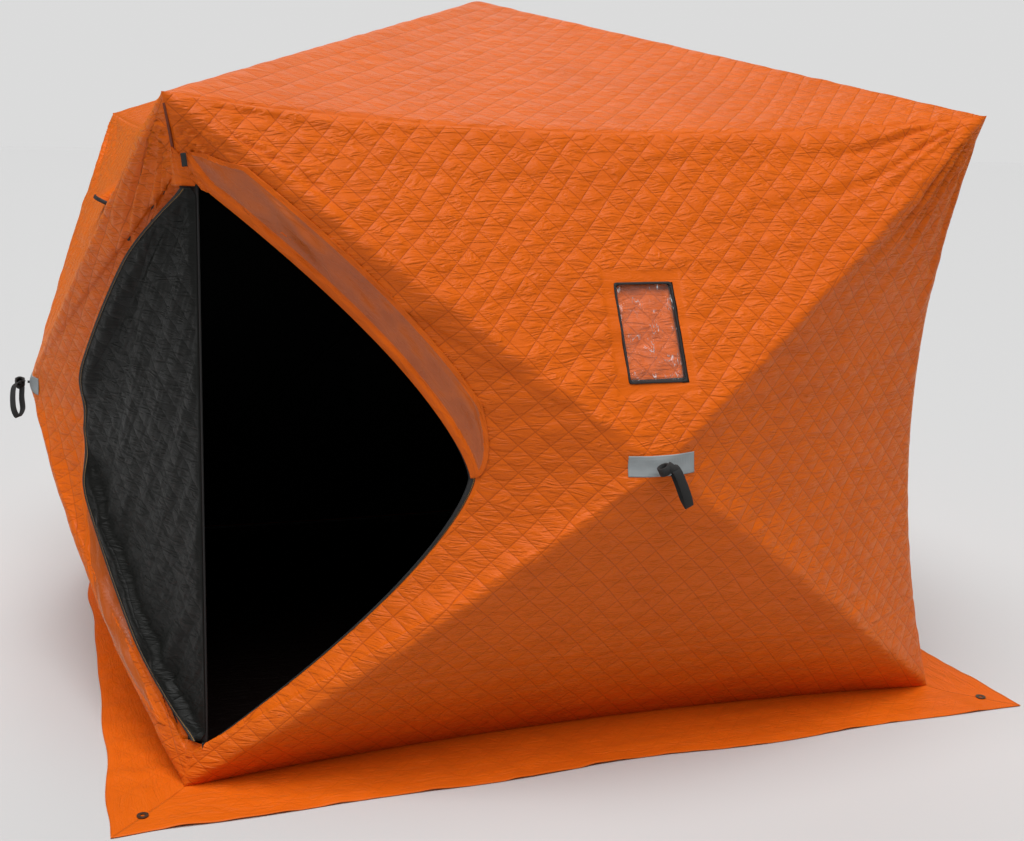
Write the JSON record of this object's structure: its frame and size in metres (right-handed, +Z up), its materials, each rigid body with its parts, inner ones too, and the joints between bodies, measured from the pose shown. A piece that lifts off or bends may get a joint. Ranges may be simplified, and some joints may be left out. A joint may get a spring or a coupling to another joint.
{
  "type": "ice fishing hut",
  "caption": "Square pop-up ice fishing hut of quilted fabric over sprung poles, hubs pushed outward, with a folded-back corner door, windows and a snow skirt.",
  "frame": {"origin": "centre of the footprint on the ground", "axes": "+Z up, the front wall with the door's open half faces -Y, the door's corner is at -X -Y, the left wall with the vent faces -X"},
  "size_m": [2.9456, 2.9456, 2.0381],
  "materials": {
    "shell_fabric": "quilted satin nylon, orange outside and black inside",
    "lining": "quilted black lining",
    "pole": "black glass-fibre rod",
    "hub_plastic": "moulded black plastic",
    "eyelet": "nickel-plated",
    "floor_sheet": "smooth coated sheet",
    "reflective_patch": "grey reflective tape",
    "webbing": "woven black webbing",
    "zip": "black coil zip on woven tape",
    "window": "clear soft vinyl"
  },
  "bodies": {
    "shell": {"roof_front": "shell_fabric", "roof_right": "shell_fabric", "roof_back": "shell_fabric", "roof_left": "shell_fabric", "front_wall_top": "shell_fabric", "front_wall_bottom": "shell_fabric", "front_wall_door_side": "shell_fabric", "front_wall_far_side": "shell_fabric", "right_wall_top": "shell_fabric", "right_wall_bottom": "shell_fabric", "right_wall_front_side": "shell_fabric", "right_wall_back_side": "shell_fabric", "back_wall_top": "shell_fabric", "back_wall_bottom": "shell_fabric", "back_wall_right_side": "shell_fabric", "back_wall_left_side": "shell_fabric", "left_wall_top": "shell_fabric", "left_wall_bottom": "shell_fabric", "left_wall_far_side": "shell_fabric", "left_wall_door_side": "shell_fabric", "skirt_front": "shell_fabric", "skirt_right": "shell_fabric", "skirt_back": "shell_fabric", "skirt_left": "shell_fabric", "skirt_eyelets": "eyelet", "floor_sheet": "floor_sheet", "front_poles": "pole", "right_poles": "pole", "back_poles": "pole", "left_poles": "pole", "roof_poles": "pole", "hubs": "hub_plastic", "corner_balls": "hub_plastic", "hub_patches": "reflective_patch", "pull_straps": "webbing", "door_left_half": "shell_fabric", "door_zips": "zip", "door_zip_covers": "shell_fabric", "window_panes": "window", "window_edging": "webbing", "vent_hood": "shell_fabric"},
    "door": {"door_flap": "lining"}
  },
  "joints": [
    {"name": "door_fold", "type": "hinge", "parent": "shell", "child": "door", "pos_m": [-1.04303, -1.09265, 0.108], "axis": [0.0076, 0.0076, 0.9999], "range_deg": [0, 230.7]}
  ]
}
